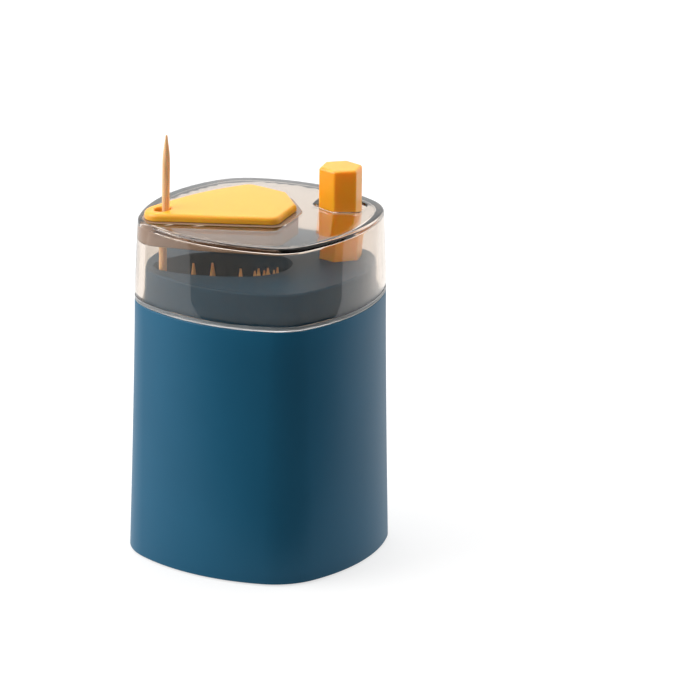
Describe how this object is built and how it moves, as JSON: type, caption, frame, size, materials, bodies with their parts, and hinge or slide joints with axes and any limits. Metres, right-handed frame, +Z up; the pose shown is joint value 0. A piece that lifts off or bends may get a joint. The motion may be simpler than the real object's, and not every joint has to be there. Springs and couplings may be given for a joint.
{
  "type": "toothpick dispenser",
  "caption": "Push-button pop-up toothpick dispenser: blue shell, clear domed cover, yellow outlet insert and orange hexagonal button, shown held down with one toothpick raised",
  "frame": {"origin": "middle of the footprint, on the table that the feet stand on", "axes": "+Z up; +X from the outlet's corner to the button's corner; the button, the lever and the outlet lie in the XZ plane"},
  "size_m": [0.0736, 0.0736, 0.12],
  "materials": {
    "shell_plastic": "satin",
    "inner_plastic": "satin",
    "cover_plastic": "polished",
    "pocket_plastic": "polished",
    "insert_plastic": "satin",
    "button_plastic": "satin",
    "works_plastic": "satin",
    "steel": "brushed",
    "foot_rubber": "matte",
    "toothpick_wood": "raw"
  },
  "bodies": {
    "housing": {"outer_shell": "shell_plastic", "base_plate": "inner_plastic", "foot_pads": "foot_rubber", "housing_screws": "steel", "frame_screws": "steel", "inner_container": "inner_plastic", "lever_frame": "works_plastic", "lever_axle": "steel", "axle_clips": "steel", "return_spring": "steel", "toothpicks": "toothpick_wood"},
    "cover": {"clear_cover": "cover_plastic", "outlet_pocket": "pocket_plastic", "outlet_insert": "insert_plastic"},
    "button": {"push_button": "button_plastic", "push_rod": "steel"},
    "lever": {"lift_lever": "works_plastic", "lever_pin": "steel"},
    "lifter": {"lifter": "works_plastic", "raised_toothpick": "toothpick_wood"}
  },
  "joints": [
    {"name": "button_slide", "type": "slide", "parent": "housing", "child": "button", "axis": [0, 0, -1], "range_m": [-0.0115, 0], "stiffness_N_per_m": 120, "springref_m": -0.02, "deforming": ["return_spring"]},
    {"name": "lever_rock", "type": "hinge", "parent": "housing", "child": "lever", "pos_m": [0.01102, 0, 0.032], "axis": [0, 1, 0], "range_deg": [-56.69, 0]},
    {"name": "lifter_slide", "type": "slide", "parent": "housing", "child": "lifter", "axis": [0, 0, 1], "range_m": [-0.038, 0]},
    {"name": "cover_lift", "type": "slide", "parent": "housing", "child": "cover", "axis": [0, 0, 1], "range_m": [0, 0.05]}
  ],
  "couplings": [
    {"joint": "lever_rock", "follows": "button_slide", "rad_per_m": 86.037},
    {"joint": "lifter_slide", "follows": "button_slide", "ratio": 3.3043}
  ]
}
